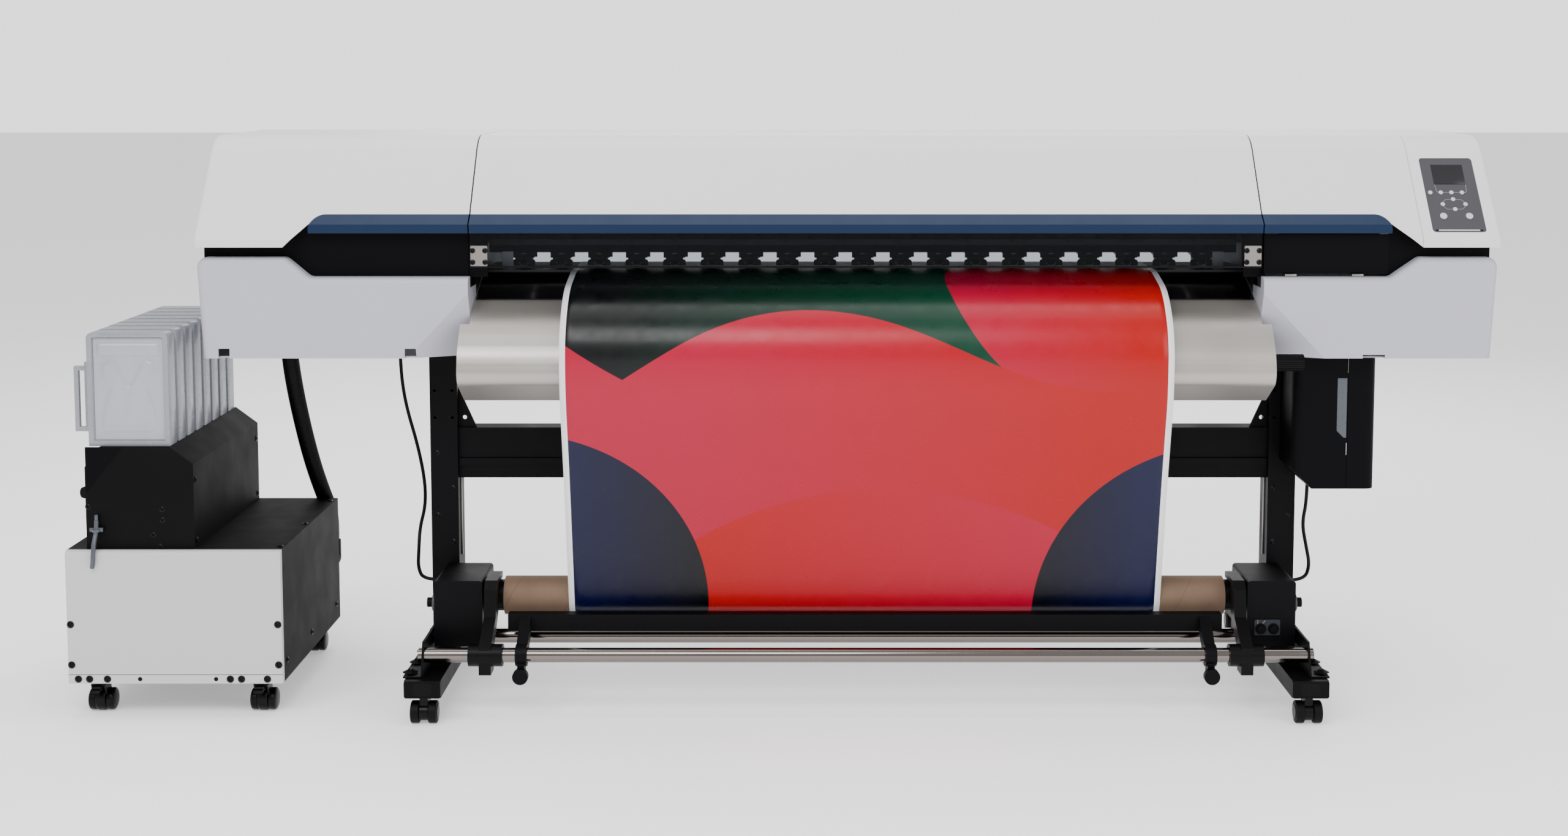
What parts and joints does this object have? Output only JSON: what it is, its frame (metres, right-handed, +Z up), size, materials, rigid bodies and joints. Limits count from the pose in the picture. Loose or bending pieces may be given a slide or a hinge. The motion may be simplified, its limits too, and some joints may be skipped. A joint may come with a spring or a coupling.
{
  "type": "wide format roll printer",
  "caption": "Wide-format roll inkjet printer: long cabinet on a castered stand, hanging print wound on a take-up core, waste tank and a hose-linked ink cart.",
  "frame": {"origin": "on the floor, under the middle of the whole object's footprint, printer and ink cart together", "axes": "+X along the cabinet towards its control panel, +Y from the front, where the print hangs, to the rear, +Z up"},
  "size_m": [3.197, 0.825, 1.297],
  "materials": {
    "cover_white": "fine satin",
    "cover_grey_white": "fine powder coat",
    "trim_blue": "satin",
    "window_clear": "clear, tinted",
    "recess_black": "matte",
    "frame_black": "fine powder coat",
    "apron_steel": "polished",
    "pipe_chrome": "polished",
    "platen_aluminium": "anodised",
    "black_plastic": "satin",
    "core_card": "plain",
    "print_paper": "printed, satin",
    "roll_paper": "plain",
    "panel_grey": "matte film",
    "key_grey": "satin",
    "cart_white": "fine powder coat",
    "cart_black": "fine texture",
    "case_clear": "translucent",
    "caster_black": "satin",
    "caster_tread": "plain",
    "hose_black": "corrugated",
    "cable_black": "plain"
  },
  "bodies": {
    "root": {"control_cover": "cover_white", "crossbeam": "frame_black", "front_apron": "apron_steel", "ink_base_cover": "cart_black", "ink_cases": "case_clear", "ink_hose": "hose_black", "ink_housing": "cart_black", "ink_side_panel": "cart_white", "left_cable": "cable_black", "left_lower_cover": "cover_grey_white", "left_upper_cover": "cover_white", "media_web": "print_paper", "panel_plate": "panel_grey", "pipe_clamps": "black_plastic", "platen": "platen_aluminium", "rear_cover": "cover_white", "right_cable": "cable_black", "right_lower_cover": "cover_grey_white", "right_upper_cover": "cover_white", "side_frames": "frame_black", "side_trims": "trim_blue", "slide_pipes": "pipe_chrome", "stand_legs": "frame_black", "takeup_boxes": "frame_black", "waste_tank_cover": "frame_black", "y_beam": "frame_black"},
    "front_cover": {"front_cover": "cover_white", "front_trim": "trim_blue", "front_window": "window_clear"},
    "maintenance_door": {"maintenance_door": "recess_black"},
    "pinch_rollers": {"pinch_rollers": "black_plastic"},
    "feed_roller": {"feed_roller": "pipe_chrome"},
    "carriage": {"carriage": "black_plastic"},
    "takeup_roll": {"takeup_tube": "core_card", "takeup_chucks": "black_plastic"},
    "supply_roll": {"supply_roll": "roll_paper"},
    "tension_bar": {"tension_bar": "frame_black"},
    "waste_tank_door": {"waste_tank_door": "frame_black"},
    "key_menu": {"key_menu": "key_grey"},
    "key_first": {"key_first": "key_grey"},
    "key_second": {"key_second": "key_grey"},
    "key_third": {"key_third": "key_grey"},
    "key_up": {"key_up": "key_grey"},
    "key_down": {"key_down": "key_grey"},
    "key_left": {"key_left": "key_grey"},
    "key_right": {"key_right": "key_grey"},
    "key_stop": {"key_stop": "key_grey"},
    "key_enter": {"key_enter": "key_grey"},
    "caster_front_left": {"caster_fork_front_left": "caster_black"},
    "wheels_front_left": {"caster_wheels_front_left": "caster_tread"},
    "caster_rear_left": {"caster_fork_rear_left": "caster_black"},
    "wheels_rear_left": {"caster_wheels_rear_left": "caster_tread"},
    "caster_front_right": {"caster_fork_front_right": "caster_black"},
    "wheels_front_right": {"caster_wheels_front_right": "caster_tread"},
    "caster_rear_right": {"caster_fork_rear_right": "caster_black"},
    "wheels_rear_right": {"caster_wheels_rear_right": "caster_tread"},
    "cart_caster_front_left": {"cart_caster_front_left": "caster_black"},
    "cart_caster_rear_left": {"cart_caster_rear_left": "caster_black"},
    "cart_caster_front_right": {"cart_caster_front_right": "caster_black"},
    "cart_caster_rear_right": {"cart_caster_rear_right": "caster_black"}
  },
  "joints": [
    {"name": "front_cover_hinge", "type": "hinge", "parent": "root", "child": "front_cover", "pos_m": [0.1855, 0.1605, 1.29], "axis": [-1, 0, 0], "range_deg": [0, 60]},
    {"name": "maintenance_door_hinge", "type": "hinge", "parent": "root", "child": "maintenance_door", "pos_m": [1.2125, -0.2665, 0.99], "axis": [1, 0, 0], "range_deg": [0, 80]},
    {"name": "pinch_lift", "type": "slide", "parent": "root", "child": "pinch_rollers", "axis": [0, 0, 1], "range_m": [0, 0.006]},
    {"name": "feed_roller_spin", "type": "hinge", "parent": "root", "child": "feed_roller", "pos_m": [0.1855, 0.0025, 0.9709], "axis": [1, 0, 0], "continuous": true},
    {"name": "carriage_slide", "type": "slide", "parent": "root", "child": "carriage", "axis": [-1, 0, 0], "range_m": [0, 2.12]},
    {"name": "takeup_spin", "type": "hinge", "parent": "root", "child": "takeup_roll", "pos_m": [0.1855, -0.1895, 0.237], "axis": [1, 0, 0], "continuous": true},
    {"name": "supply_spin", "type": "hinge", "parent": "root", "child": "supply_roll", "pos_m": [0.1855, 0.3225, 0.745], "axis": [1, 0, 0], "continuous": true},
    {"name": "tension_bar_swing", "type": "hinge", "parent": "root", "child": "tension_bar", "pos_m": [0.1855, -0.3475, 0.142], "axis": [1, 0, 0], "range_deg": [0, 35]},
    {"name": "waste_tank_door_hinge", "type": "hinge", "parent": "root", "child": "waste_tank_door", "pos_m": [1.3445, -0.1105, 0.6485], "axis": [0, 0, 1], "range_deg": [0, 100]},
    {"name": "key_menu_press", "type": "slide", "parent": "root", "child": "key_menu", "axis": [0, 0.7904, -0.6126], "range_m": [0, 0.001], "stiffness_N_per_m": 250, "springref_m": -0.0005},
    {"name": "key_first_press", "type": "slide", "parent": "root", "child": "key_first", "axis": [0, 0.7904, -0.6126], "range_m": [0, 0.001], "stiffness_N_per_m": 250, "springref_m": -0.0005},
    {"name": "key_second_press", "type": "slide", "parent": "root", "child": "key_second", "axis": [0, 0.7904, -0.6126], "range_m": [0, 0.001], "stiffness_N_per_m": 250, "springref_m": -0.0005},
    {"name": "key_third_press", "type": "slide", "parent": "root", "child": "key_third", "axis": [0, 0.7904, -0.6126], "range_m": [0, 0.001], "stiffness_N_per_m": 250, "springref_m": -0.0005},
    {"name": "key_up_press", "type": "slide", "parent": "root", "child": "key_up", "axis": [0, 0.7904, -0.6126], "range_m": [0, 0.001], "stiffness_N_per_m": 250, "springref_m": -0.0005},
    {"name": "key_down_press", "type": "slide", "parent": "root", "child": "key_down", "axis": [0, 0.7904, -0.6126], "range_m": [0, 0.001], "stiffness_N_per_m": 250, "springref_m": -0.0005},
    {"name": "key_left_press", "type": "slide", "parent": "root", "child": "key_left", "axis": [0, 0.7904, -0.6126], "range_m": [0, 0.001], "stiffness_N_per_m": 250, "springref_m": -0.0005},
    {"name": "key_right_press", "type": "slide", "parent": "root", "child": "key_right", "axis": [0, 0.7904, -0.6126], "range_m": [0, 0.001], "stiffness_N_per_m": 250, "springref_m": -0.0005},
    {"name": "key_stop_press", "type": "slide", "parent": "root", "child": "key_stop", "axis": [0, 0.7904, -0.6126], "range_m": [0, 0.001], "stiffness_N_per_m": 250, "springref_m": -0.0005},
    {"name": "key_enter_press", "type": "slide", "parent": "root", "child": "key_enter", "axis": [0, 0.7904, -0.6126], "range_m": [0, 0.001], "stiffness_N_per_m": 250, "springref_m": -0.0005},
    {"name": "caster_swivel_front_left", "type": "hinge", "parent": "root", "child": "caster_front_left", "pos_m": [-0.7965, -0.3715, 0.063], "axis": [0, 0, 1], "continuous": true},
    {"name": "wheel_spin_front_left", "type": "hinge", "parent": "caster_front_left", "child": "wheels_front_left", "pos_m": [-0.7965, -0.3855, 0.025], "axis": [1, 0, 0], "continuous": true},
    {"name": "caster_swivel_rear_left", "type": "hinge", "parent": "root", "child": "caster_rear_left", "pos_m": [-0.7965, 0.3615, 0.063], "axis": [0, 0, 1], "continuous": true},
    {"name": "wheel_spin_rear_left", "type": "hinge", "parent": "caster_rear_left", "child": "wheels_rear_left", "pos_m": [-0.7965, 0.3475, 0.025], "axis": [1, 0, 0], "continuous": true},
    {"name": "caster_swivel_front_right", "type": "hinge", "parent": "root", "child": "caster_front_right", "pos_m": [1.1675, -0.3715, 0.063], "axis": [0, 0, 1], "continuous": true},
    {"name": "wheel_spin_front_right", "type": "hinge", "parent": "caster_front_right", "child": "wheels_front_right", "pos_m": [1.1675, -0.3855, 0.025], "axis": [1, 0, 0], "continuous": true},
    {"name": "caster_swivel_rear_right", "type": "hinge", "parent": "root", "child": "caster_rear_right", "pos_m": [1.1675, 0.3615, 0.063], "axis": [0, 0, 1], "continuous": true},
    {"name": "wheel_spin_rear_right", "type": "hinge", "parent": "caster_rear_right", "child": "wheels_rear_right", "pos_m": [1.1675, 0.3475, 0.025], "axis": [1, 0, 0], "continuous": true},
    {"name": "cart_caster_front_left_swivel", "type": "hinge", "parent": "root", "child": "cart_caster_front_left", "pos_m": [-1.542, -0.3095, 0.078], "axis": [0, 0, 1], "continuous": true},
    {"name": "cart_caster_rear_left_swivel", "type": "hinge", "parent": "root", "child": "cart_caster_rear_left", "pos_m": [-1.542, 0.1495, 0.078], "axis": [0, 0, 1], "continuous": true},
    {"name": "cart_caster_front_right_swivel", "type": "hinge", "parent": "root", "child": "cart_caster_front_right", "pos_m": [-1.176, -0.3095, 0.078], "axis": [0, 0, 1], "continuous": true},
    {"name": "cart_caster_rear_right_swivel", "type": "hinge", "parent": "root", "child": "cart_caster_rear_right", "pos_m": [-1.176, 0.1495, 0.078], "axis": [0, 0, 1], "continuous": true}
  ]
}
